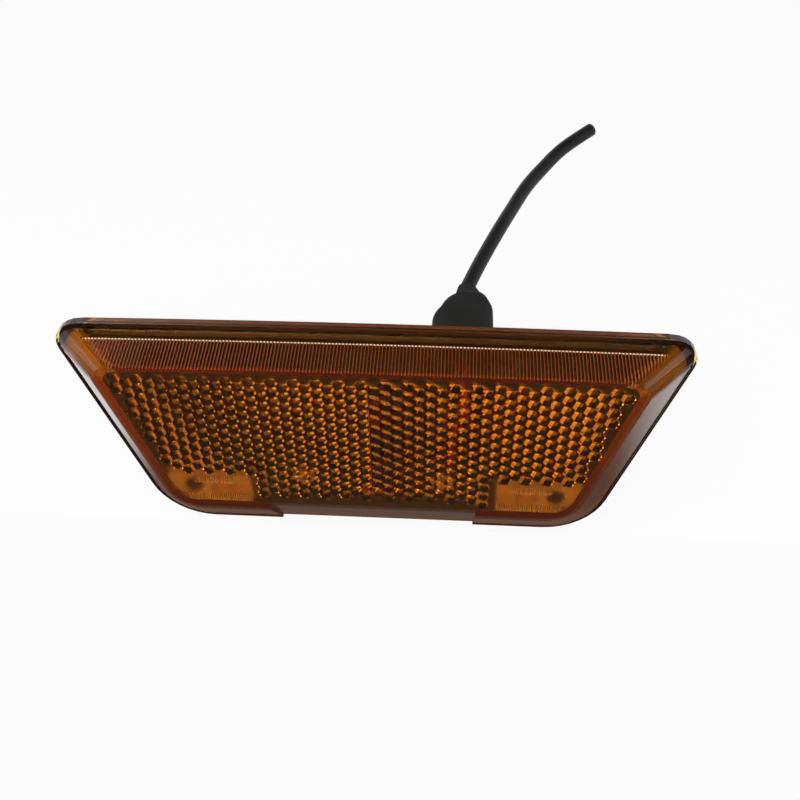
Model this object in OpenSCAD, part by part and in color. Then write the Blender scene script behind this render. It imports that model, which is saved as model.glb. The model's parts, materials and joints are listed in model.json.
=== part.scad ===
// Side marker lamp: an amber reflex lens welded to a black rear housing, with a rubber boot
// and a short cut cable at the back. X is to the right, Z is up, and the lamp faces -Y.
// The origin is the middle of the rear face, which lies on the vehicle's panel.

/* [Outline] */
// Width of the top edge, without the rounding of its corners
lamp_w = 130; // [128:1:136]
// Height from the ends of the top edge to the bottom edge
lamp_h = 54.3; // [54:0.1:56]
// How far each side leans inward for each millimetre of height
side_lean = 0.312; // [0.29:0.002:0.32]
// Rise of the slightly bowed top edge in its middle
top_bow = 0.6; // [0:0.1:1]
// Depth from the rear face to the front face
lamp_d = 12; // [11.8:0.1:13]
// Thickness of the whole flange
flange_t = 2.4; // [2.2:0.1:2.6]
// Radius of the upper corners
upper_r = 5; // [4:0.5:6]
// Radius of the lower corners
lower_r = 14; // [12:0.5:15]

/* [Lens] */
// Distance between two flutes on the top wall
flute_pitch = 0.666; // [0.6:0.002:0.8]
// Depth of a flute
flute_depth = 0.3; // [0.2:0.01:0.35]
// Distance between neighbouring reflex prisms
prism_pitch = 2.54; // [2.4:0.02:2.9]
// Rise of a prism, as a share of a true cube corner
prism_rise = 1; // [0.8:0.05:1]

/* [Fixing and cable] */
// Distance between the two fixing bosses
fixing_spacing = 78; // [77:0.5:79]
// Bore of the threaded inserts
insert_bore = 3.3; // [3:0.1:3.5]
// Diameter of the cable sheath
cable_d = 3.2; // [3:0.1:3.4]

/* [Hidden] */

amber = [0.85, 0.42, 0.05, 0.75];
black = [0.07, 0.07, 0.07];
rubber_grey = [0.18, 0.18, 0.16];

// Places on the face are given as a drop below the ends of the top edge, which are at top_z
top_z = lamp_h / 2;
lean_angle = atan(side_lean);
lean_length = sqrt(1 + side_lean * side_lean);
arc_steps = 8;
sliver = 0.02;
// How far one form is sunk into another that it is fused with
fuse = 0.05;

// The housing's rim lies behind the lens's flange, and only its weld rib touches the lens
rim_t = 0.6;
weld_rib_h = 0.15;
// The housing's floor fills the opening of the lens up to this depth
floor_t = 2.2;

// Sections of the lens's raised block and of the hollow in it. Each is
// [depth, drop of the top edge, half width there, drop of the bottom, upper radius, lower radius]
block_foot = [flange_t, 1.2, lamp_w / 2 - 0.9, lamp_h - 0.4, 4, 13];
block_shoulder = [lamp_d - 0.8, 2.95, 55, 42.4, 3.5, 8];
block_face = [lamp_d, 3.15, 53.6, 40.8, 2.6, 6.5];
hollow_foot = [rim_t - 0.1, 3.2, 61.4, 50.9, 3, 11];
hollow_face = [lamp_d - 2, 5.1, 52.2, 40, 2, 5];

// The top wall leans forward by this angle
top_wall_angle = atan((block_face[1] - block_foot[1]) / (block_face[0] - block_foot[0]));

// The bottom wall is set back between two tabs, so that the lamp clears a trim edge
recess_half_w = 22;
recess_profile = [
    [lamp_d + 1, 37.5], [lamp_d, 39], [lamp_d - 0.8, 40.7], [flange_t, 53.2], [-1, 53.2], [-1, 60], [lamp_d + 1, 60]
];

// A rounded outline as points [x, z], with a bowed top edge
function corner_x(top, half, z, r) = half - side_lean * (top - z) - r * lean_length;
function arc(cx, cz, r, from, to) = [
    for (i = [0 : arc_steps])
        let (a = from + (to - from) * i / arc_steps)
            [cx + r * cos(a), cz + r * sin(a)]
];
function bowed(x) = top_bow * (1 - pow(2 * x / lamp_w, 2));
function right_side(top, half, bottom, r_up, r_low) = concat(
    arc(corner_x(top, half, top - r_up, r_up), top - r_up, r_up, 90, -lean_angle),
    arc(corner_x(top, half, bottom + r_low, r_low), bottom + r_low, r_low, -lean_angle, -90)
);
function left_side(points) = [for (i = [len(points) - 1 : -1 : 0]) [-points[i][0], points[i][1]]];
function top_line(top, half) = [for (i = [-6 : 6]) [half * i / 6, top + bowed(half * i / 6)]];
function outline(top, half, bottom, r_up, r_low) =
    let (side = right_side(top, half, bottom, r_up, r_low))
        concat(top_line(top, side[0][0] - 1), side, left_side(side));
function section_outline(s) = outline(top_z - s[1], s[2], top_z - s[3], s[4], s[5]);
function flange_outline(inset) =
    outline(top_z - inset, lamp_w / 2 - 1.3 * inset, inset - top_z, upper_r - inset, lower_r - inset);

// Stands a drawing of [x, z] points up between two depths in front of the rear face
module slab(from, to) {
    translate([0, -from, 0])
        rotate([90, 0, 0])
            linear_extrude(to - from)
                children();
}

// A pin or a hole along Y, at a place [x, drop], between two depths
module pin(place, from, to, r, segments = 48) {
    slab(from, to)
        translate([place[0], top_z - place[1]])
            circle(r, $fn = segments);
}

// A plate from its middle [x, drop], its width and its height, between two depths
module plate(middle, w, h, from, to) {
    slab(from, to)
        translate([middle[0] - w / 2, top_z - middle[1] - h / 2])
            square([w, h]);
}

module loft_slice(s) {
    slab(s[0] - sliver, s[0])
        polygon(section_outline(s));
}

module bottom_recess() {
    rotate([90, 0, 90])
        linear_extrude(2 * recess_half_w, center = true)
            polygon([for (p = recess_profile) [-p[0], top_z - p[1]]]);
}

// Flutes: half round ribs along the top wall, which spread the light upward
flute_start = 4.6;
flute_count = 172;
flute_steps = 6;
flute_crest = 0.02;
flute_end_angle = 45;
module flute_cut() {
    half = flute_count * flute_pitch / 2;
    // Points of the ribs' half round sections, from the left to the right
    low = [
        for (i = [0 : flute_count * flute_steps])
            let (middle = -half + (floor(i / flute_steps) + 0.5) * flute_pitch)
                let (a = 180 * (i % flute_steps) / flute_steps)
                    let (x = middle - cos(a) * flute_pitch / 2)
                        [x, bowed(x) - flute_crest - flute_depth * (1 - sin(a))]
    ];
    start_drop = block_foot[1] + (flute_start - flange_t) * tan(top_wall_angle);
    translate([0, -flute_start, top_z - start_drop])
        rotate([90 + top_wall_angle, 0, 0])
            difference() {
                linear_extrude(lamp_d)
                    polygon(concat(low, [[half, 3], [-half, 3]]));
                // Each flute runs out to the wall on a slope
                rotate([-flute_end_angle, 0, 0])
                    translate([-lamp_w, -lamp_d, -2 * lamp_d])
                        cube([2 * lamp_w, 2 * lamp_d, 2 * lamp_d]);
            }
}

// Reflex prisms: cube corners on a honeycomb, which send light back where it came from.
// Corners of the cells lie on a grid of prism_dx by prism_dz, so that neighbours meet exactly.
prism_dx = prism_pitch / sqrt(12);
prism_dz = prism_pitch / 2;
prism_step = prism_rise * prism_pitch / sqrt(6);
field_top = 5.4;
field_bottom = 38.1;
field_tab_bottom = 39.9;
field_half_w = 51.6;
window_top = 32.6;
window_inner = 25.9;
hex_corners = [[2, 0], [1, 1], [-1, 1], [-2, 0], [-1, -1], [1, -1]];
hex_neighbours = [[3, 1], [0, 2], [-3, 1], [-3, -1], [0, -2], [3, -1]];

function cell_x(c) = (c[0] + 1.5) * prism_dx;
function cell_drop(c) = field_top - c[1] * prism_dz;
function in_window(x, drop) = x > window_inner - 1.5 && drop > window_top - 1.3;
function in_field(c, side) =
    let (x = side * cell_x(c), drop = cell_drop(c))
        x > -1.2 * prism_pitch
        && x < field_half_w - side_lean * (drop - field_top) - 0.9
        && drop > field_top + 0.9
        && drop < (x > recess_half_w ? field_tab_bottom : field_bottom) - 0.9
        && !in_window(x, drop);
// Alternate corners of a cell are high and low, and the left field mirrors the right one
function first_high(side) = side > 0 ? 0 : 1;
function corner_rise(k, side) = k % 2 == first_high(side) ? prism_step : 0;
function field_cells(side) = [
    for (i = [-24 : 24])
        for (j = [0 : 15])
            let (c = [3 * i, -2 * j - abs(i % 2)])
                if (in_field(c, side)) c
];
function cell_points(c, side) = concat(
    [[cell_x(c), 2 * prism_step, cell_drop(c)]],
    [for (k = [0 : 5]) let (v = c + hex_corners[k]) [cell_x(v), corner_rise(k, side), cell_drop(v)]],
    [for (k = [0 : 5]) let (v = c + hex_corners[k]) [cell_x(v), -fuse, cell_drop(v)]]
);
// The three squares round the apex start at every second corner
function cell_faces(c, side, n) =
    concat(
        [
            for (i = [0, 2, 4])
                let (k = i + first_high(side))
                    [n, n + 1 + k, n + 1 + (k + 1) % 6, n + 1 + (k + 2) % 6]
        ],
        [[for (k = [5 : -1 : 0]) n + 7 + k]],
        [
            for (k = [0 : 5])
                if (!in_field(c + hex_neighbours[k], side))
                    [n + 1 + k, n + 7 + k, n + 7 + (k + 1) % 6, n + 1 + (k + 1) % 6]
        ]
    );

module prism_field(side) {
    cells = field_cells(side);
    points = [for (c = cells) for (p = cell_points(c, side)) [p[0], p[1], top_z - p[2]]];
    faces = [for (m = [0 : len(cells) - 1]) for (f = cell_faces(cells[m], side, 13 * m)) f];
    intersection() {
        translate([0, -hollow_face[0], 0])
            polyhedron(points, faces, convexity = 8);
        translate([side > 0 ? 0.04 : -80.04, -lamp_d, -lamp_h])
            cube([80, 2 * lamp_d, 2 * lamp_h]);
    }
}

// Short ribs inside the front face spread the light at the lower and upper edges of each window
rib_pitch = 0.96;
rib_r = 0.3;
rib_rows = [[26.9, 15, 39.7, 1.9], [29.8, 9, 34.6, 1.7]];
module window_ribs() {
    for (row = rib_rows)
        for (i = [0 : row[1] - 1])
            translate([row[0] + i * rib_pitch, -hollow_face[0], top_z - row[2]])
                cylinder(row[3], rib_r, rib_r, $fn = 16);
}

module lens() {
    color(amber)
        union() {
            difference() {
                union() {
                    slab(rim_t, flange_t)
                        polygon(flange_outline(0));
                    hull() {
                        loft_slice(block_foot);
                        loft_slice(block_shoulder);
                        loft_slice(block_face);
                    }
                }
                hull() {
                    loft_slice(hollow_foot);
                    loft_slice(hollow_face);
                }
                flute_cut();
                bottom_recess();
            }
            prism_field(1);
            prism_field(-1);
            window_ribs();
            mirror([1, 0, 0])
                window_ribs();
        }
}

// Rear housing
boss_r = 3.4;
boss_depth = 6.4;
tip_r = 1.4;
tip_depth = 7.9;
post_r = 3.2;
post_depth = 3.4;
screw_x = 14;
screw_drop = 33;
screw_r = 1.1;
outlet = [18.8, 7.2];
outlet_r = 3.1;
// The boot stands in a shallow round socket in the rear face
boot_r = 6.4;
boot_middle = [18, 8];
socket_r = 6.6;
socket_depth = 0.3;
fixing_drop = 38;
fixing_places = [[-fixing_spacing / 2, fixing_drop], [fixing_spacing / 2, fixing_drop]];

module housing() {
    color(black)
        difference() {
            union() {
                slab(0, rim_t - weld_rib_h)
                    polygon(flange_outline(0.3));
                // Weld rib
                slab(0, rim_t)
                    difference() {
                        polygon(flange_outline(1.6));
                        polygon(flange_outline(2.4));
                    }
                slab(0, floor_t)
                    polygon(outline(top_z - 3.7, 59.6, top_z - 48.6, 3, 10));
                // Stiffening ribs
                for (x = [-46, -28, 6, 34])
                    plate([x, 16], 1.2, 18, floor_t - fuse, 4.4);
                plate([-18, 12], 56, 1.2, floor_t - fuse, 4.4);
                for (place = fixing_places) {
                    pin(place, floor_t - fuse, boss_depth, boss_r);
                    pin(place, boss_depth - fuse, tip_depth, tip_r);
                }
                for (x = [-screw_x, screw_x])
                    pin([x, screw_drop], floor_t - fuse, post_depth, post_r);
            }
            for (place = fixing_places)
                pin(place, -1, insert_length + 0.3, insert_r);
            for (x = [-screw_x, screw_x])
                pin([x, screw_drop], 1, post_depth + 1, screw_r);
            pin(outlet, -1, floor_t + 1, outlet_r);
            pin(boot_middle, -1, socket_depth, socket_r);
            bottom_recess();
        }
}

// Threaded inserts in the two fixing bosses, open at the rear face
insert_r = 2.4;
insert_length = 5;
module insert(place) {
    color("goldenrod")
        difference() {
            pin(place, 0, insert_length, insert_r);
            pin(place, -1, insert_length + 1, insert_bore / 2);
        }
}

// Circuit board on the housing's posts
board_back = post_depth;
board_front = post_depth + 1.6;
board_middle = [0, 34.3];
board_size = [70, 14];
module circuit_board() {
    color("darkgreen")
        difference() {
            plate(board_middle, board_size[0], board_size[1], board_back, board_front);
            for (x = [-screw_x, screw_x])
                pin([x, screw_drop], board_back - 1, board_front + 1, 1.6);
        }
}

module board_screws() {
    color("silver")
        for (x = [-screw_x, screw_x])
            union() {
                pin([x, screw_drop], 1, board_front + fuse, screw_r);
                difference() {
                    pin([x, screw_drop], board_front, board_front + 1.4, 2.4);
                    plate([x, screw_drop], 3.2, 0.6, board_front + 0.8, board_front + 2);
                    plate([x, screw_drop], 0.6, 3.2, board_front + 0.8, board_front + 2);
                }
            }
}

// Light emitting diodes behind the two clear windows
led_places = [[-33, 39.2], [-29, 39.2], [29, 39.2], [33, 39.2]];
module led(place) {
    color("ivory")
        difference() {
            plate(place, 3, 2.8, board_front, board_front + 1.4);
            pin(place, board_front + 1, board_front + 2, 1.1);
        }
}

module chip(middle, w, h, t) {
    plate(middle, w, h, board_front, board_front + t);
}

module resistor(place) {
    color("black")
        chip(place, 5, 2.5, 0.6);
}

// A moulded diode stands on its two folded feet
module moulded_diode(place, w, h, t) {
    color([0.2, 0.2, 0.22]) {
        plate(place, w, h, board_front + 0.2, board_front + t);
        plate(place, w + 1.2, h * 0.6, board_front, board_front + 0.3);
    }
}

module capacitor() {
    color("tan")
        chip([0, 36.5], 3.2, 1.6, 1.2);
}

// White trays that throw the light through the windows. Each rests on the board and on a boss,
// and follows the rounded lower corner of the lens.
tray_front = 8;
tray_floor = 7.2;
tray_outside = [26.4, 34.4, 53.4, 41.7, 7];
tray_inside = [27.2, 35.2, 52.6, 40.9, 6.2];
led_slot = [[31, 39.2], [8.6, 3.2]];
tip_hole_r = 2.1;
// A form is [inner side, top, half width at the top of the face, bottom, radius of its corner]
module tray_form(form, from, to) {
    intersection() {
        slab(from, to)
            polygon(outline(top_z - 5, form[2], top_z - form[3], 2, form[4]));
        translate([form[0], -lamp_d, -lamp_h])
            cube([lamp_w, 2 * lamp_d, lamp_h + top_z - form[1]]);
    }
}
module reflector() {
    place = [fixing_spacing / 2, fixing_drop];
    color("white")
        difference() {
            tray_form(tray_outside, board_front, tray_front);
            tray_form(tray_inside, tray_floor, tray_front + 1);
            tray_form(tray_inside, board_front - 1, boss_depth);
            plate(led_slot[0], led_slot[1][0], led_slot[1][1], board_front, tray_front);
            pin(place, board_front - 1, boss_depth, boss_r);
            pin(place, boss_depth - 1, tray_front, tip_hole_r);
        }
}

// Cable boot: a lip inside the housing, a neck in the outlet, and a leaning shoulder outside
boot_body = 12;
boot_end = 23.7;
lip_r = 4.2;
lip_top = 4.1;
mouth = 17;
module boot_ring(middle, y, r) {
    pin(middle, -y - 0.5, -y, r, 32);
}
module cable_boot() {
    color(rubber_grey)
        difference() {
            union() {
                intersection() {
                    pin(outlet, floor_t, floor_t + 1.2, lip_r);
                    plate([outlet[0], lip_top + lip_r], 2 * lip_r, 2 * lip_r, floor_t - 1, floor_t + 2);
                }
                pin(outlet, 0, floor_t + fuse, outlet_r);
                pin(boot_middle, -boot_body, socket_depth, boot_r);
                hull() {
                    boot_ring(boot_middle, boot_body - 1, boot_r);
                    boot_ring([18.8, 7.6], 15, 5.6);
                    boot_ring([19.8, 7.2], 17.6, 3.8);
                }
                hull() {
                    boot_ring([19.6, 7.2], 16, 4);
                    boot_ring(outlet, boot_end - 0.5, 2.1);
                }
            }
            pin(outlet, -boot_end - 1, 5, cable_d / 2);
            // The mouth is a little wider, where the cable starts to bend
            pin(outlet, -boot_end - 1, -mouth, cable_d / 2 + 0.15);
        }
}

// Cable: the route's points, at the right distance behind the rear face, as [x, y, drop]
cable_route = [
    [18.8, -3.6, 7.2], [18.8, 8, 7.2], [18.8, 18, 7.2], [18.8, 23.5, 7.2], [19.8, 27, 6.5], [22.2, 33.5, 5.1],
    [25.5, 41.5, 3.2], [29, 49.5, 1.4], [32.5, 57, -0.4], [36.5, 63.5, -2], [42, 71, -4], [49.4, 78, -6]
];
function to_frame(p) = [p[0], p[1], top_z - p[2]];
// A smooth curve through four neighbouring points
function curve(a, b, c, d, t) =
    0.5 * (2 * b + (c - a) * t + (2 * a - 5 * b + 4 * c - d) * t * t + (3 * b - a - 3 * c + d) * t * t * t);
function route_point(r, i) = r[max(0, min(len(r) - 1, i))];
function smooth_route(r, steps) = concat(
    [
        for (i = [0 : len(r) - 2])
            for (s = [0 : steps - 1])
                curve(route_point(r, i - 1), r[i], r[i + 1], route_point(r, i + 2), s / steps)
    ],
    [r[len(r) - 1]]
);
function unit(v) = v / norm(v);
function heading(path, i) = unit(path[min(len(path) - 1, i + 1)] - path[max(0, i - 1)]);
// A tube of one closed skin round a path. Its rings are turned by one direction the path never takes.
module tube(path, r, sides, aside) {
    count = len(path);
    rings = [
        for (i = [0 : count - 1])
            let (along = heading(path, i))
            let (across = unit(cross(along, aside)))
            let (over = cross(across, along))
                for (k = [0 : sides - 1])
                    path[i] + r * (cos(360 * k / sides) * across + sin(360 * k / sides) * over)
    ];
    skin = [
        for (i = [0 : count - 2])
            for (k = [0 : sides - 1])
                let (a = i * sides + k)
                let (b = i * sides + (k + 1) % sides)
                    [a, b, b + sides, a + sides]
    ];
    ends = [[for (k = [sides - 1 : -1 : 0]) k], [for (k = [0 : sides - 1]) (count - 1) * sides + k]];
    polyhedron(rings, concat(skin, ends), convexity = 6);
}

module cable_sheath() {
    color(black)
        tube(smooth_route([for (p = cable_route) to_frame(p)], 2), cable_d / 2, 8, [0, 0, 1]);
}

// The two cores run from the sheath's inner end to their pads on the board
core_r = 0.6;
core_depth = 5.8;
pad_drop = 29.4;
pad_r = 1.1;
pad_h = 1.5;
pad_places = [15.6, 20];
core_end = pad_drop + 0.4;
module core(x, pad_x) {
    start_x = outlet[0] + x;
    route = [
        [start_x, -3.8, 7.2], [start_x, -5, 7.6], [start_x, -6, 8.8], [start_x, -6.4, 11],
        [start_x, -6.4, 15], [pad_x, -6.4, 20], [pad_x, -6.2, 24],
        [pad_x, -core_depth, pad_drop - 2.4], [pad_x, -core_depth, pad_drop - 1], [pad_x, -core_depth, core_end]
    ];
    tube(smooth_route([for (p = route) to_frame(p)], 2), core_r, 8, [1, 0, 0]);
}
module live_core() {
    color("firebrick")
        core(-0.8, pad_places[0]);
}
module earth_core() {
    color([0.15, 0.15, 0.15])
        core(0.8, pad_places[1]);
}
// Each solder joint closes round the end of its core
module solder_joints() {
    color("silver")
        for (x = pad_places)
            difference() {
                translate([x, -board_front, top_z - pad_drop])
                    rotate([90, 0, 0])
                        cylinder(pad_h, pad_r, 0.7, $fn = 32);
                translate([x, -core_depth, top_z - core_end])
                    cylinder(3, core_r, core_r, $fn = 32);
            }
}

lens();
housing();
circuit_board();
led(led_places[0]);  // led_1
led(led_places[1]);  // led_2
led(led_places[2]);  // led_3
led(led_places[3]);  // led_4
resistor([-24, 30]);  // resistor_1
resistor([-6, 30]);  // resistor_2
moulded_diode([8, 29.5], 4.2, 2.6, 2);  // polarity_diode
moulded_diode([26, 30], 4.4, 3.4, 2.2);  // surge_diode
capacitor();
mirror([1, 0, 0]) reflector();  // reflector_left
reflector();  // reflector_right
board_screws();
insert(fixing_places[0]);  // insert_left
insert(fixing_places[1]);  // insert_right
cable_boot();
cable_sheath();
live_core();
earth_core();
solder_joints();
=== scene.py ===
# %% [markdown]
# # A side marker lamp for a car
# The lamp is an amber acrylic lens welded to a black rear housing. A circuit board with four
# light emitting diodes is sealed inside, and a short cable leaves through a rubber boot.
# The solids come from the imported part, which already has every flute and prism of the lens.
# This script gives them their finishes. It remakes only the cable, because its skin and its cut
# end need finer geometry than the solid has.

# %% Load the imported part
import json

import bmesh
import bpy
from mathutils import Matrix, Vector


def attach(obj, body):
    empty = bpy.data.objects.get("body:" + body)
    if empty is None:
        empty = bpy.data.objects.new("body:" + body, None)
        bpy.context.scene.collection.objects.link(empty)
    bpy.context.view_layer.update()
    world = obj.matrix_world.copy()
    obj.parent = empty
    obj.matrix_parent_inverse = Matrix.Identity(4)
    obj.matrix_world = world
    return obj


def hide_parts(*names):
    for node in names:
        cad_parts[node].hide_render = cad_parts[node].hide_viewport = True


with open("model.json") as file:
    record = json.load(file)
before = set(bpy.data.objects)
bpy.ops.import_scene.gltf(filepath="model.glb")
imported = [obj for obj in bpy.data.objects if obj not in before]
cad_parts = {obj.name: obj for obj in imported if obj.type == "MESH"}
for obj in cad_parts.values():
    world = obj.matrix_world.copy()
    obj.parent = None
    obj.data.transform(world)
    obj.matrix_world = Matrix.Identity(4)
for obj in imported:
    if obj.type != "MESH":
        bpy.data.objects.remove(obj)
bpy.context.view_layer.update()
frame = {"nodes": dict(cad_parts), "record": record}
nodes = frame["nodes"]
MM = 0.001
TOP_Z = 27.15  # the lamp's top edge, in mm above its middle

# %% [markdown]
# ## Camera
# The photograph looks down at the lamp from about 19 cm, so the perspective is strong. A camera
# could be aimed at the lamp by eye, but then no edge would lie where the photograph has it. This
# one's place, direction and lens were solved from the lamp's outline, in the lamp's own frame.

# %% Camera
EYE = Vector((15.33, -142.66, 131.01)) * MM
RIGHT = Vector((0.9981, 0.0607, -0.0096)).normalized()
UP = Vector((-0.0323, 0.6514, 0.7581))
SENSOR = 36
FOCAL_PIXELS, FRAME_PIXELS = 904.4, 800

camera_data = bpy.data.cameras.new("camera")
camera_data.sensor_width = SENSOR
camera_data.lens = FOCAL_PIXELS / FRAME_PIXELS * SENSOR
camera_data.clip_start = 0.01
camera_data.clip_end = 50
camera = bpy.data.objects.new("camera", camera_data)
bpy.context.scene.collection.objects.link(camera)
back = RIGHT.cross(UP).normalized()
turn = Matrix((RIGHT, back.cross(RIGHT).normalized(), back)).transposed()
camera.matrix_world = Matrix.Translation(EYE) @ turn.to_4x4()
bpy.context.scene.camera = camera
print("lens, mm:", round(camera_data.lens, 1))

# %% [markdown]
# ## Cable
# The cable is a round sheath of soft PVC, 3.2 mm across, with two cores in it. It was cut off
# about 65 mm from the boot. A curve with a round bevel gives such a tube too, but its end cannot
# be opened. So rings are set along a smooth line and bridged, and the end is shaped afterwards.
# The line's points are those of the solid's route. Only the last one lies 0.03 mm further back,
# so that the round end, which has more sides than the solid's, stays inside the solid's box.

# %% Helpers for new pieces
def add_piece(name, bm):
    """Turns a bmesh into an object that rides on the lamp."""
    bmesh.ops.recalc_face_normals(bm, faces=bm.faces)
    mesh = bpy.data.meshes.new(name)
    bm.to_mesh(mesh)
    bm.free()
    for face in mesh.polygons:
        face.use_smooth = len(face.vertices) == 4
    obj = bpy.data.objects.new(name, mesh)
    bpy.context.scene.collection.objects.link(obj)
    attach(obj, "root")
    print(name, len(mesh.polygons), "faces")
    return obj


def smooth_line(points, steps):
    """A smooth curve through the points, with so many steps between each two."""
    line = []
    for i in range(len(points) - 1):
        a, b = points[max(i - 1, 0)], points[i]
        c, d = points[i + 1], points[min(i + 2, len(points) - 1)]
        for s in range(steps):
            t = s / steps
            line.append(0.5 * (2 * b + (c - a) * t + (2 * a - 5 * b + 4 * c - d) * t * t
                               + (3 * b - a - 3 * c + d) * t ** 3))
    line.append(points[-1])
    return line


def heading(line, i):
    """The direction in which the line runs at one of its points."""
    return (line[min(i + 1, len(line) - 1)] - line[max(i - 1, 0)]).normalized()


def facing(point, along):
    """A place at a point, turned so that its Z axis runs along the line."""
    across = along.cross(Vector((0, 0, 1))).normalized()
    turn = Matrix((across, along.cross(across), along)).transposed()
    return Matrix.Translation(point) @ turn.to_4x4()


def tube(line, radius, sides):
    """Rings along a line, bridged to a tube, with a flat cap on each end."""
    bm = bmesh.new()
    rings = []
    for i, point in enumerate(line):
        ring = bmesh.ops.create_circle(
            bm, segments=sides, radius=radius, matrix=facing(point, heading(line, i)))
        rings.append(list(dict.fromkeys(edge for vert in ring["verts"] for edge in vert.link_edges)))
    for low, high in zip(rings, rings[1:]):
        bmesh.ops.bridge_loops(bm, edges=low + high)
    caps = [bmesh.ops.contextual_create(bm, geom=ring)["faces"][0] for ring in (rings[0], rings[-1])]
    return bm, caps


# %% Cable route
CABLE_D = 3.2 * MM
SIDES = 32
STEPS = 8
# Each point's X, its distance behind the rear face, and its drop below the top edge, in mm
ROUTE = [Vector((x, y, TOP_Z - drop)) * MM for x, y, drop in (
    (18.8, -3.6, 7.2), (18.8, 8, 7.2), (18.8, 18, 7.2), (18.8, 23.5, 7.2), (19.8, 27, 6.5), (22.2, 33.5, 5.1),
    (25.5, 41.5, 3.2), (29, 49.5, 1.4), (32.5, 57, -0.4), (36.5, 63.5, -2), (42, 71, -4), (49.38, 77.98, -6))]
OUTLET_X, OUTLET_DROP, BOOT_END = 18.8, 7.2, 23.7
EXIT = Vector((OUTLET_X, BOOT_END, TOP_Z - OUTLET_DROP)) * MM
SPACING = 0.4 * MM  # the least distance of a ring from the one at the exit

whole_line = smooth_line(ROUTE, STEPS)
outer_line = [EXIT] + [p for p in whole_line if p.y > EXIT.y + SPACING]
inner_line = [p for p in whole_line if p.y < EXIT.y - SPACING] + [EXIT]

# %% [markdown]
# ## Cut end
# The sheath was cut with pliers, and its wall stands a little proud of the cores. The end cap of
# the tube is inset by the wall's thickness and then pushed in, which leaves an open rim. A
# boolean cut could do that too, but inset and extrude keep the rim's faces clean.

# %% Cable pieces
WALL = 0.55 * MM
RIM_DEPTH = 1.2 * MM  # how far the end is open

bm, caps = tube(outer_line, CABLE_D / 2, SIDES)
cut_face = caps[1]
bmesh.ops.inset_region(bm, faces=[cut_face], thickness=WALL)
end_point = outer_line[-1]
end_heading = heading(outer_line, len(outer_line) - 1)
pushed = bmesh.ops.extrude_face_region(bm, geom=[cut_face])
bmesh.ops.delete(bm, geom=[cut_face], context="FACES_ONLY")
bmesh.ops.translate(bm, verts=[v for v in pushed["geom"] if isinstance(v, bmesh.types.BMVert)],
                    vec=-RIM_DEPTH * end_heading)
cable = add_piece("cable", bm)
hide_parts("cable_sheath")

bm, caps = tube(inner_line, CABLE_D / 2, SIDES)
cable_inner = add_piece("cable_inside_boot", bm)

# %% [markdown]
# ## Ends of the two cores
# Inside the rim lie the ends of a red and a black core, each with its bundle of strands standing
# out a little. At this size single strands would not show, so each end is two short cylinders.

# %% Ends of the two cores
CORE_ASIDE = 0.5 * MM
INSULATION = (0.48 * MM, 0.95 * MM, 0.35 * MM)  # radius, length, and depth below the rim
STRANDS = (0.3 * MM, 1.0 * MM, 0.2 * MM)
CORE_SIDES = 20


def core_end(name, aside):
    """The last 1 mm of one core, to one side of the cable's middle."""
    across = facing(end_point, end_heading).to_3x3().col[0]
    bm = bmesh.new()
    for radius, length, below in (INSULATION, STRANDS):
        middle = end_point - end_heading * (below + length / 2) + across * aside
        bmesh.ops.create_cone(bm, cap_ends=True, segments=CORE_SIDES, radius1=radius, radius2=radius,
                              depth=length, matrix=facing(middle, end_heading))
    return add_piece(name, bm)


live_end = core_end("cable_end_live", CORE_ASIDE)
earth_end = core_end("cable_end_earth", -CORE_ASIDE)

# %% [markdown]
# ## Helpers for finishes
# Every finish is made of nodes, and image textures would tie it to files. One function adds a
# node, whatever its kind. Colours are sRGB hex values that pass through one function, because
# shaders work in linear light. Patterns have their real size in millimetres, and follow the
# lamp's own coordinates, so that they stay on it when it moves.

# %% Helpers for finishes
def colour(hex_code):
    """An sRGB hex colour as linear values."""
    channels = [int(hex_code[i:i + 2], 16) / 255 for i in (1, 3, 5)]
    return (*[c / 12.92 if c <= 0.04045 else ((c + 0.055) / 1.055) ** 2.4 for c in channels], 1)


def node(tree, kind, fields=None, inputs=None):
    """Adds a node, sets its fields, and sets or links its inputs by name or number."""
    made = tree.nodes.new(kind)
    for key, value in (fields or {}).items():
        setattr(made, key, value)
    for key, value in (inputs or {}).items():
        if isinstance(value, bpy.types.NodeSocket):
            tree.links.new(value, made.inputs[key])
        else:
            made.inputs[key].default_value = value
    return made


def new_material(name, metallic=0.0, ior=1.5):
    """A material, its node tree, its shader and the lamp's own coordinates."""
    print("material:", name)
    material = bpy.data.materials.new(name)
    material.use_nodes = True
    tree = material.node_tree
    shader = tree.nodes["Principled BSDF"]
    shader.inputs["Metallic"].default_value = metallic
    shader.inputs["IOR"].default_value = ior
    return material, tree, shader, node(tree, "ShaderNodeTexCoord").outputs["Object"]


# %% [markdown]
# ## A moulded skin
# No real skin has one flat colour. A moulded one drifts a little in colour over a few millimetres,
# because the melt did not fill the mould evenly, and has a fine even grain from the mould's
# surface. Two noise textures give this: a slow one for the colour, and a fine one that changes
# both the gloss and the bump. Grain finer than 0.05 mm would not show, so none is drawn finer,
# also where the real one is. Plated and turned metal is made with the same function.

# %% A moulded skin
DRIFT_MM = 9
DRIFT_FROM, DRIFT_TO = 0.35, 0.65  # the noise stays mostly between these
GRAIN_DEPTH = 0.02 * MM
GLOSS_SPREAD = 0.15


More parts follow.
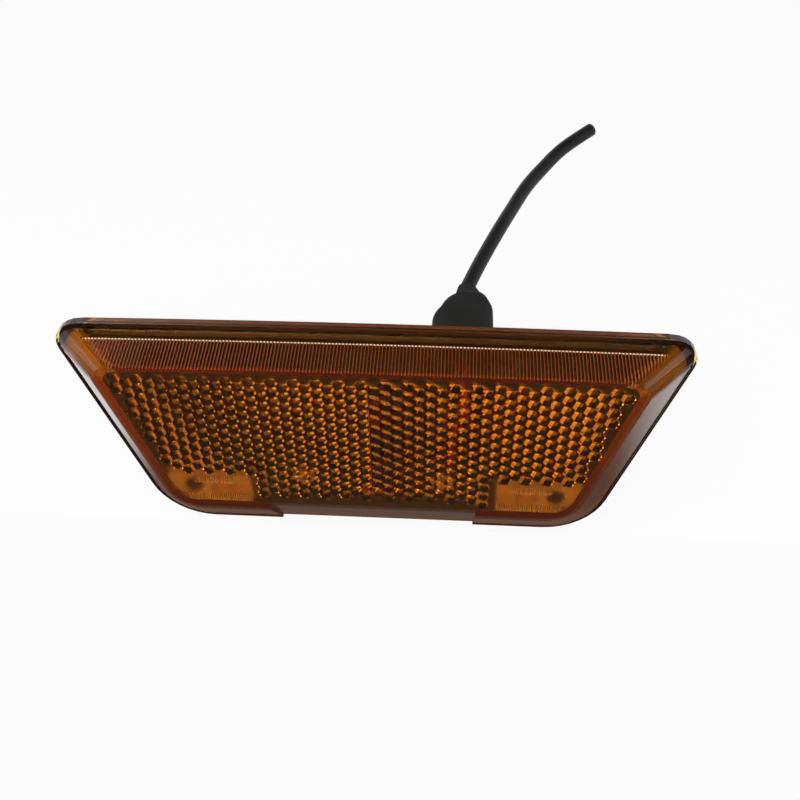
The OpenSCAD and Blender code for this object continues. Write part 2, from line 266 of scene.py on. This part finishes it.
def moulded(name, dark, light, roughness, grain_mm, grain, metallic=0.0):
    """A skin between two colours, with a grain of so many millimetres and a bump of so much strength."""
    material, tree, shader, where = new_material(name, metallic)
    slow = node(tree, "ShaderNodeTexNoise", inputs={
        "Vector": where, "Scale": 1 / (DRIFT_MM * MM), "Detail": 4.0})
    drift = node(tree, "ShaderNodeValToRGB", inputs={"Fac": slow.outputs["Fac"]})
    for stop, place, value in zip(drift.color_ramp.elements, (DRIFT_FROM, DRIFT_TO), (dark, light)):
        stop.position, stop.color = place, colour(value)
    tree.links.new(drift.outputs["Color"], shader.inputs["Base Color"])

    fine = node(tree, "ShaderNodeTexNoise", inputs={
        "Vector": where, "Scale": 1 / (grain_mm * MM), "Detail": 2.0})
    gloss = node(tree, "ShaderNodeMapRange", inputs={
        "Value": fine.outputs["Fac"],
        "To Min": roughness * (1 - GLOSS_SPREAD), "To Max": roughness * (1 + GLOSS_SPREAD)})
    tree.links.new(gloss.outputs["Result"], shader.inputs["Roughness"])
    bump = node(tree, "ShaderNodeBump", inputs={
        "Height": fine.outputs["Fac"], "Strength": grain, "Distance": GRAIN_DEPTH})
    tree.links.new(bump.outputs["Normal"], shader.inputs["Normal"])
    return material, tree, shader, where


# %% [markdown]
# ## Skins of the lens
# The lens is one moulding, but its mould had several surfaces. The outside and the reflex prisms
# were polished. Round the prisms the inside was left matt, so that the margins and windows glow
# and hide what is behind them. The steep flanks of the flutes are scraped and frosted, which the
# eye sees as pale brown stripes beside dark polished crests. The lens could be split into several
# materials, but its dye needs one closed body. So each face gets two numbers, which the material
# reads as attributes: how matt it is, and how frosted. Both follow from where the face lies and
# which way it points.

# %% Skins of the lens
PRISM_TILT, TILT_ERROR = 0.577, 0.02  # how far a cube corner's faces lean from the front face
HOLLOW_FRONT, HOLLOW_REAR = -10.1, -0.7  # Y of the lens's hollow, in mm
PRISM_FRONT = -9.99  # the prisms lie behind this
FLUTES_LOW, FLUTES_FRONT, FLUTES_REAR = 24, -9.7, -4.6  # least Z of the flutes, and their Y
REARWARD, STEEP = 0.05, 0.9  # how far a normal points back, down or sideways
FLANK_MATT, CEILING_MATT = 0.8, 0.35


def mark_skins(mesh):
    """Gives each face of the lens its two numbers."""
    for name in ("matt", "frost"):
        mesh.attributes.new(name, "FLOAT", "FACE")
    matt, frost = mesh.attributes["matt"].data, mesh.attributes["frost"].data
    for i, face in enumerate(mesh.polygons):
        y, z = face.center.yz / MM
        hollow = HOLLOW_FRONT < y < HOLLOW_REAR
        inside = hollow and face.normal.y > REARWARD
        prism = y > PRISM_FRONT and abs(face.normal.y - PRISM_TILT) < TILT_ERROR
        ceiling = hollow and face.normal.z < -STEEP
        flank = z > FLUTES_LOW and FLUTES_FRONT < y < FLUTES_REAR and abs(face.normal.x) > STEEP
        if flank:
            matt[i].value, frost[i].value = FLANK_MATT, 1.0
        elif prism:
            matt[i].value = 0.0
        elif ceiling:
            matt[i].value = CEILING_MATT
        elif inside:
            matt[i].value = 1.0
    print("frosted flanks:", sum(f.value > 0 for f in frost), "of", len(frost), "faces")


mark_skins(nodes["lens"].data)

# %% [markdown]
# ## Amber acrylic
# The lens is injection moulded PMMA, of index 1.49, dyed through. Dye colours by depth: thin
# edges stay yellow and long paths turn red. A coloured glass shader would tint every surface
# alike, so the colour is an absorption inside the lens, and the skin itself is almost white.
# Faint sink marks bend the reflections on the flat face. Each flute ends in a small frosted pip,
# and its pale colour is a painted glint. It stands in for the highlight that the flute's rounded end
# catches, so together they make a row of painted highlights. Each is 0.4 mm across, so a mask in the
# material gives them: the distance from the nearest crest, along the lamp and across it. Ping-pong
# folds the lamp's length at every crest, so that one spot serves for the whole row.

# %% Acrylic and its row of painted glints
FLUTE_PITCH = 0.666 * MM
# Where the painted glints lie: a pale dot at the upper end of each flute, on the top wall
GLINT_ROW_Y = -4.95 * MM
GLINT_EDGE, GLINT_CORE = 0.21 * MM, 0.15 * MM
GLINT_ROW_HALF_W, GLINT_ROW_LOW = 56.2 * MM, 24.5 * MM

acrylic, tree, shader, where = new_material("moulded_amber_acrylic", ior=1.49)
matt = node(tree, "ShaderNodeAttribute", {"attribute_name": "matt"}).outputs["Fac"]
frost = node(tree, "ShaderNodeAttribute", {"attribute_name": "frost"}).outputs["Fac"]

place = node(tree, "ShaderNodeSeparateXYZ", inputs={0: where})
fold = node(tree, "ShaderNodeMath", {"operation": "PINGPONG"}, {0: place.outputs["X"], 1: FLUTE_PITCH / 2})
across = node(tree, "ShaderNodeMath", {"operation": "SUBTRACT"}, {0: FLUTE_PITCH / 2, 1: fold.outputs[0]})
along = node(tree, "ShaderNodeMath", {"operation": "SUBTRACT"}, {0: place.outputs["Y"], 1: GLINT_ROW_Y})
spot = node(tree, "ShaderNodeCombineXYZ", inputs={0: across.outputs[0], 1: along.outputs[0]})
away = node(tree, "ShaderNodeVectorMath", {"operation": "LENGTH"}, {0: spot.outputs[0]})
glint_dot = node(tree, "ShaderNodeMapRange", inputs={
    "Value": away.outputs["Value"], "From Min": GLINT_EDGE, "From Max": GLINT_CORE})
aside = node(tree, "ShaderNodeMath", {"operation": "ABSOLUTE"}, {0: place.outputs["X"]})
row = node(tree, "ShaderNodeMath", {"operation": "LESS_THAN"}, {0: aside.outputs[0], 1: GLINT_ROW_HALF_W})
top = node(tree, "ShaderNodeMath", {"operation": "GREATER_THAN"}, {0: place.outputs["Z"], 1: GLINT_ROW_LOW})
wall = node(tree, "ShaderNodeMath", {"operation": "MULTIPLY"}, {0: row.outputs[0], 1: top.outputs[0]})
# The mask of the painted glints
painted_glint_mask = node(tree, "ShaderNodeMath", {"operation": "MULTIPLY"}, {0: glint_dot.outputs["Result"], 1: wall.outputs[0]})
print("glint_pips, mm across:", round(2 * GLINT_EDGE / MM, 2))

# %% Acrylic's skin and dye
# Polished skin lets all light in. Frost throws a part of it back, in the colour of the lit dye.
# The pale pip colour is a painted glint, laid into the skin where the glint mask is 1
CLEAR, MATT, FROST, PAINTED_GLINT = colour("#FFF8EC"), colour("#FFCC90"), colour("#F08424"), colour("#FCDCAC")
FROST_SHARE = 0.65
THROUGH_FROST = 0.05  # what full frost still lets in
POLISHED, ERODED = 0.015, 0.42  # roughness
SINK_MM, SINK_DEPTH, SINK_STRENGTH = 6, 0.1 * MM, 0.15

skin = node(tree, "ShaderNodeMix", {"data_type": "RGBA"}, {0: matt, 6: CLEAR, 7: MATT})
striped = node(tree, "ShaderNodeMix", {"data_type": "RGBA"}, {0: frost, 6: skin.outputs[2], 7: FROST})
# Painted glint: the pale dot is mixed into the skin's colour
glinted_skin = node(tree, "ShaderNodeMix", {"data_type": "RGBA"}, {
    0: painted_glint_mask.outputs[0], 6: striped.outputs[2], 7: PAINTED_GLINT})
tree.links.new(glinted_skin.outputs[2], shader.inputs["Base Color"])

flank = node(tree, "ShaderNodeMath", {"operation": "MULTIPLY"}, {0: frost, 1: FROST_SHARE})
scatter = node(tree, "ShaderNodeMath", {"operation": "MAXIMUM"}, {0: painted_glint_mask.outputs[0], 1: flank.outputs[0]})
let_in = node(tree, "ShaderNodeMapRange", inputs={
    "Value": scatter.outputs[0], "To Min": 1.0, "To Max": THROUGH_FROST})
tree.links.new(let_in.outputs["Result"], shader.inputs["Transmission Weight"])

gloss = node(tree, "ShaderNodeMapRange", inputs={"Value": matt, "To Min": POLISHED, "To Max": ERODED})
tree.links.new(gloss.outputs["Result"], shader.inputs["Roughness"])
sink = node(tree, "ShaderNodeTexNoise", inputs={"Vector": where, "Scale": 1 / (SINK_MM * MM), "Detail": 1.0})
wave = node(tree, "ShaderNodeBump", inputs={
    "Height": sink.outputs["Fac"], "Strength": SINK_STRENGTH, "Distance": SINK_DEPTH})
tree.links.new(wave.outputs["Normal"], shader.inputs["Normal"])

# Blue is taken away first and red last, so 1 mm is yellow and 10 mm is deep orange
DYE_PER_M = 750.0
dye = node(tree, "ShaderNodeVolumeAbsorption", inputs={"Color": colour("#FDE795"), "Density": DYE_PER_M})
tree.links.new(dye.outputs["Volume"], tree.nodes["Material Output"].inputs["Volume"])

# %% [markdown]
# ## Boot and cable
# The boot is moulded rubber, which is matt and scatters nearly all light evenly. The sheath is
# extruded PVC, which comes out of the die smooth and has a soft shine along its length. Both are
# nearly black, and a full specular level would veil them with the white room, so it is lowered.

# %% Rubber and PVC
rubber, tree, shader, where = moulded("moulded_rubber", "#191A16", "#21221D", 0.8, 0.12, 0.6)
shader.inputs["Specular IOR Level"].default_value = 0.12
pvc, tree, shader, where = moulded("extruded_pvc", "#151515", "#1E1E1D", 0.42, 0.25, 0.4)
shader.inputs["Specular IOR Level"].default_value = 0.2

# %% [markdown]
# ## Light emitting diodes
# Each is a cream moulding with a round well, filled with yellow phosphor gel. The gel could be a
# piece of its own, but it lies flush in the well, so a second colour laid into the moulding's
# own finish gives it. The mask is a disc round the middle of each diode. Folded at the lamp's
# middle, and then between the two of a pair, one disc serves for all four.

# %% Light emitting diodes
FIRST_LED_X, LED_SPACING = 29 * MM, 4 * MM  # the inner diode of a pair, and how far on its mate lies
LED_Z = -12.05 * MM
WELL_R = 1.08 * MM
GEL_BEHIND = -6.3 * MM


def inlay(tree, shader, mask, value):
    """Lays a second colour into a finish, where the mask is 1."""
    skin = shader.inputs["Base Color"].links[0].from_socket
    both = node(tree, "ShaderNodeMix", {"data_type": "RGBA"}, {0: mask, 6: skin, 7: value})
    tree.links.new(both.outputs[2], shader.inputs["Base Color"])


led, tree, shader, where = moulded("led_moulding", "#DDD5BC", "#EBE4CE", 0.4, 0.2, 0.2)
place = node(tree, "ShaderNodeSeparateXYZ", inputs={0: where})
side = node(tree, "ShaderNodeMath", {"operation": "ABSOLUTE"}, {0: place.outputs["X"]})
from_first = node(tree, "ShaderNodeMath", {"operation": "SUBTRACT"}, {0: side.outputs[0], 1: FIRST_LED_X})
pair = node(tree, "ShaderNodeMath", {"operation": "PINGPONG"}, {0: from_first.outputs[0], 1: LED_SPACING / 2})
rise = node(tree, "ShaderNodeMath", {"operation": "SUBTRACT"}, {0: place.outputs["Z"], 1: LED_Z})
spot = node(tree, "ShaderNodeCombineXYZ", inputs={0: pair.outputs[0], 1: rise.outputs[0]})
away = node(tree, "ShaderNodeVectorMath", {"operation": "LENGTH"}, {0: spot.outputs[0]})
well = node(tree, "ShaderNodeMath", {"operation": "LESS_THAN"}, {0: away.outputs["Value"], 1: WELL_R})
sunk = node(tree, "ShaderNodeMath", {"operation": "GREATER_THAN"}, {0: place.outputs["Y"], 1: GEL_BEHIND})
gel = node(tree, "ShaderNodeMath", {"operation": "MULTIPLY"}, {0: well.outputs[0], 1: sunk.outputs[0]})
inlay(tree, shader, gel.outputs[0], colour("#E2B62C"))

# %% [markdown]
# ## Circuit board
# The board is glass laminate under a green solder mask, a glossy lacquer. Its copper tracks lie
# below the mask and show as paler green lines. They could be thin solids, but they stand only
# 0.04 mm proud. So they are stripes, one every 1.27 mm, which a slow noise breaks off here and
# there as real tracks end.

# %% Circuit board
TRACK_PITCH, TRACK_HALF_W = 1.27 * MM, 0.16 * MM
BREAK_MM, BREAK_LEVEL = 8, 0.48

board, tree, shader, where = moulded("solder_mask", "#0E2614", "#14361C", 0.3, 0.5, 0.2)
place = node(tree, "ShaderNodeSeparateXYZ", inputs={0: where})
track = node(tree, "ShaderNodeMath", {"operation": "PINGPONG"}, {0: place.outputs["Z"], 1: TRACK_PITCH / 2})
copper = node(tree, "ShaderNodeMath", {"operation": "LESS_THAN"}, {0: track.outputs[0], 1: TRACK_HALF_W})
broken = node(tree, "ShaderNodeTexNoise", inputs={
    "Vector": where, "Scale": 1 / (BREAK_MM * MM), "Detail": 0.0})
laid = node(tree, "ShaderNodeMath", {"operation": "GREATER_THAN"}, {0: broken.outputs["Fac"], 1: BREAK_LEVEL})
lines = node(tree, "ShaderNodeMath", {"operation": "MULTIPLY"}, {0: copper.outputs[0], 1: laid.outputs[0]})
inlay(tree, shader, lines.outputs[0], colour("#22502A"))

# %% [markdown]
# ## The other finishes
# The rest are plain skins, which differ in colour, gloss and grain. Each could have its own
# nodes, but the function for a moulded skin already has all that they need. The numbers are the
# roughness, the grain in millimetres and the strength of its bump.

# %% All finishes, by the part's material slots
finishes = {
    "amber_acrylic": acrylic,
    # ABS from a spark eroded mould: satin black, with a soft wide shine
    "black_abs": moulded("moulded_black_abs", "#101010", "#191817", 0.45, 0.3, 0.4)[0],
    "board_laminate": board,
    "led_housing": led,
    # Thick film resistor under black glaze: small and shiny
    "resistor_black": moulded("glazed_chip", "#111114", "#1B1B20", 0.2, 0.2, 0.2)[0],
    # Epoxy filled with silica: dull dark grey
    "diode_epoxy": moulded("moulded_epoxy", "#1C1C20", "#28282C", 0.55, 0.1, 0.5)[0],
    # Fired ceramic: tan, with a fine dry surface
    "capacitor_ceramic": moulded("fired_ceramic", "#8A6844", "#A37E58", 0.45, 0.1, 0.3)[0],
    # White ABS from a polished mould: it has to throw light forward, so it is bright and glossy
    "white_abs": moulded("moulded_white_abs", "#E4E2DA", "#F0EFEA", 0.3, 0.4, 0.2)[0],
    # Zinc plate on steel: pale grey metal with a cloudy shine
    "screw_steel": moulded("zinc_plate", "#B8B8B4", "#CECEC8", 0.3, 0.05, 0.2, metallic=1.0)[0],
    # Brass turned from bar: yellow metal, with tool marks too fine to see singly
    "insert_brass": moulded("turned_brass", "#B98F42", "#D2AB60", 0.3, 0.05, 0.3, metallic=1.0)[0],
    "boot_rubber": rubber,
    "cable_pvc": pvc,
    # PVC insulation, extruded over the strands: smooth, with a soft shine
    "core_red": moulded("red_pvc", "#8E1414", "#A81C1A", 0.4, 0.2, 0.2)[0],
    "core_black": moulded("black_pvc", "#171717", "#202020", 0.4, 0.2, 0.2)[0],
    # Solder that set slowly: bright, with a slight frost
    "solder": moulded("tinned_solder", "#B4B4B4", "#CCCCCA", 0.25, 0.1, 0.3, metallic=1.0)[0],
}
slot_of = {s["node"]: s["material_slot"] for s in frame["record"]["subparts"]}
for name, obj in nodes.items():
    obj.data.materials.clear()
    obj.data.materials.append(finishes[slot_of[name]])
new_pieces = (
    (cable, "cable_pvc"), (cable_inner, "cable_pvc"), (live_end, "core_red"), (earth_end, "core_black"))
for piece, slot in new_pieces:
    piece.data.materials.append(finishes[slot])
print("finishes:", len(finishes), "on", len(nodes) + len(new_pieces), "pieces")

# %% [markdown]
# ## Floor
# The photograph has a white ground. The lamp hangs over the front edge of a white table, so its
# sloped sides mirror the table behind it. A strong lamp could burn a grey table to white, but it
# would bleach the object too. So the table glows white for rays of the camera, of gloss and of
# glass, and is plain paper for all others, which keeps the lamp's shadow on it. Close behind the
# lamp, gloss and glass see a painted shadow: the paper is coloured brown there, in place of the
# amber shade under the lens. Seen from below the table is clear, so that it hides nothing.

# %% Floor
FLOOR_SIZE = 3
FLOOR_Z = -32 * MM
# The brown is a painted amber shadow, which only gloss and glass see close behind the lamp
PAPER, PURE_WHITE, PAINTED_SHADOW = colour("#E7E7E6"), colour("#FFFFFF"), colour("#613C1D")
PAINTED_SHADOW_FROM, PAINTED_SHADOW_TO = 6 * MM, 30 * MM
WHITE_SHARE = 0.9  # the rest of the paper shows the lamp's shadow

bm = bmesh.new()
bmesh.ops.create_grid(bm, x_segments=1, y_segments=1, size=FLOOR_SIZE)
bmesh.ops.translate(bm, verts=bm.verts, vec=(0, FLOOR_SIZE, FLOOR_Z))
mesh = bpy.data.meshes.new("floor")
bm.to_mesh(mesh)
bm.free()
floor = bpy.data.objects.new("floor", mesh)
bpy.context.scene.collection.objects.link(floor)
print("floor's front edge, mm:", round(min(v.co.y for v in mesh.vertices) / MM, 1))


# %% Paper
def seen_directly(tree):
    """1 for rays of the camera, of gloss and of glass, 0 for all others."""
    path = node(tree, "ShaderNodeLightPath")
    gloss_or_glass = node(tree, "ShaderNodeMath", {"operation": "ADD"}, {
        0: path.outputs["Is Glossy Ray"], 1: path.outputs["Is Transmission Ray"]})
    return node(tree, "ShaderNodeMath", {"operation": "ADD", "use_clamp": True}, {
        0: gloss_or_glass.outputs[0], 1: path.outputs["Is Camera Ray"]}).outputs[0]


paper, tree, shader, where = new_material("white_paper")
shader.inputs["Base Color"].default_value = PAPER
shader.inputs["Roughness"].default_value = 0.9
place = node(tree, "ShaderNodeSeparateXYZ", inputs={0: where})
# Painted shadow: between these distances behind the rear face, gloss and glass see the paper go from brown to
# white
painted_shadow_fade = node(tree, "ShaderNodeMapRange", {"interpolation_type": "SMOOTHSTEP"}, {
    "Value": place.outputs["Y"], "From Min": PAINTED_SHADOW_FROM, "From Max": PAINTED_SHADOW_TO})
path = node(tree, "ShaderNodeLightPath")
lit = node(tree, "ShaderNodeMath", {"operation": "MAXIMUM"}, {
    0: painted_shadow_fade.outputs["Result"], 1: path.outputs["Is Camera Ray"]})
painted_shadow_tint = node(tree, "ShaderNodeMix", {"data_type": "RGBA"}, {0: lit.outputs[0], 6: PAINTED_SHADOW, 7: PURE_WHITE})
glow = node(tree, "ShaderNodeEmission", inputs={"Color": painted_shadow_tint.outputs[2], "Strength": 1.0})
share = node(tree, "ShaderNodeMath", {"operation": "MULTIPLY"}, {0: seen_directly(tree), 1: WHITE_SHARE})
upper_side = node(tree, "ShaderNodeMixShader", inputs={
    0: share.outputs[0], 1: shader.outputs["BSDF"], 2: glow.outputs["Emission"]})
geometry = node(tree, "ShaderNodeNewGeometry")
clear = node(tree, "ShaderNodeBsdfTransparent")
sheet = node(tree, "ShaderNodeMixShader", inputs={
    0: geometry.outputs["Backfacing"], 1: upper_side.outputs["Shader"], 2: clear.outputs["BSDF"]})
tree.links.new(sheet.outputs["Shader"], tree.nodes["Material Output"].inputs["Surface"])
mesh.materials.append(paper)

# %% [markdown]
# ## Room
# Glass and gloss show their surroundings, so the room decides how the lens looks. Real cards and
# benches could stand round it, but they would show in other views. So the room is drawn in the
# world, as bands of brightness by height. The polished walls mirror the pale band. A brown bench
# below gives a slight veil on the front face, and dark cards above keep glare off the flange and
# the flat band. The camera sees plain white, and matt skins get an even, dimmer light.

# %% Room
ROOM_LIGHT = 0.45
BENCH, WHITE, DIM_WALL, CARD = colour("#6C6159"), colour("#FCFCFC"), colour("#896945"), colour("#30271D")
# The height of a direction goes from -1, straight down, to 1, straight up
BANDS = (
    (-1, BENCH), (-0.06, BENCH),
    (0.02, WHITE), (0.54, WHITE),
    (0.6, CARD), (0.71, CARD),
    (0.75, DIM_WALL), (0.83, DIM_WALL),
    (0.9, CARD),
)
world = bpy.data.worlds.new("studio")
bpy.context.scene.world = world
world.use_nodes = True
tree = world.node_tree
direction = node(tree, "ShaderNodeTexCoord")
towards = node(tree, "ShaderNodeSeparateXYZ", inputs={0: direction.outputs["Generated"]})
height = node(tree, "ShaderNodeMapRange", inputs={"Value": towards.outputs["Z"], "From Min": -1.0})
bands = node(tree, "ShaderNodeValToRGB", inputs={"Fac": height.outputs["Result"]})
for i, (level, value) in enumerate(BANDS):
    place = (level + 1) / 2
    stop = bands.color_ramp.elements[i] if i < 2 else bands.color_ramp.elements.new(place)
    stop.position, stop.color = place, value
path = node(tree, "ShaderNodeLightPath")
seen = node(tree, "ShaderNodeMix", {"data_type": "RGBA"}, {
    0: path.outputs["Is Camera Ray"], 6: bands.outputs["Color"], 7: WHITE})
backdrop = node(tree, "ShaderNodeBackground", inputs={"Color": seen.outputs[2], "Strength": 1.0})
room = node(tree, "ShaderNodeBackground", inputs={"Color": WHITE, "Strength": ROOM_LIGHT})
both = node(tree, "ShaderNodeMixShader", inputs={
    0: seen_directly(tree), 1: room.outputs["Background"], 2: backdrop.outputs["Background"]})
tree.links.new(both.outputs["Shader"], tree.nodes["World Output"].inputs["Surface"])
print("bands in the room:", len(BANDS))

# %% [markdown]
# ## Soft box
# The reflex prisms send light back to where it came from, so they show the one lamp that stands
# near the camera. A small bright lamp gives a few glaring slivers, and a large dim one gives the
# many even ones of the photograph. It stands above the camera, a little to the left.

# %% Soft box
BOX_PLACE = Vector((-0.12, -0.66, 0.76))
BOX_SIZE = 1.3, 0.7
BOX_WATTS = 12

lamp = bpy.data.lights.new("key_box", "AREA")
lamp.shape = "RECTANGLE"
lamp.size, lamp.size_y = BOX_SIZE
lamp.energy = BOX_WATTS
soft_box = bpy.data.objects.new("key_box", lamp)
soft_box.location = BOX_PLACE
soft_box.rotation_mode = "QUATERNION"
soft_box.rotation_quaternion = BOX_PLACE.to_track_quat("Z", "Y")
bpy.context.scene.collection.objects.link(soft_box)

bpy.context.scene.view_settings.view_transform = "Standard"
print("soft box, W:", BOX_WATTS)
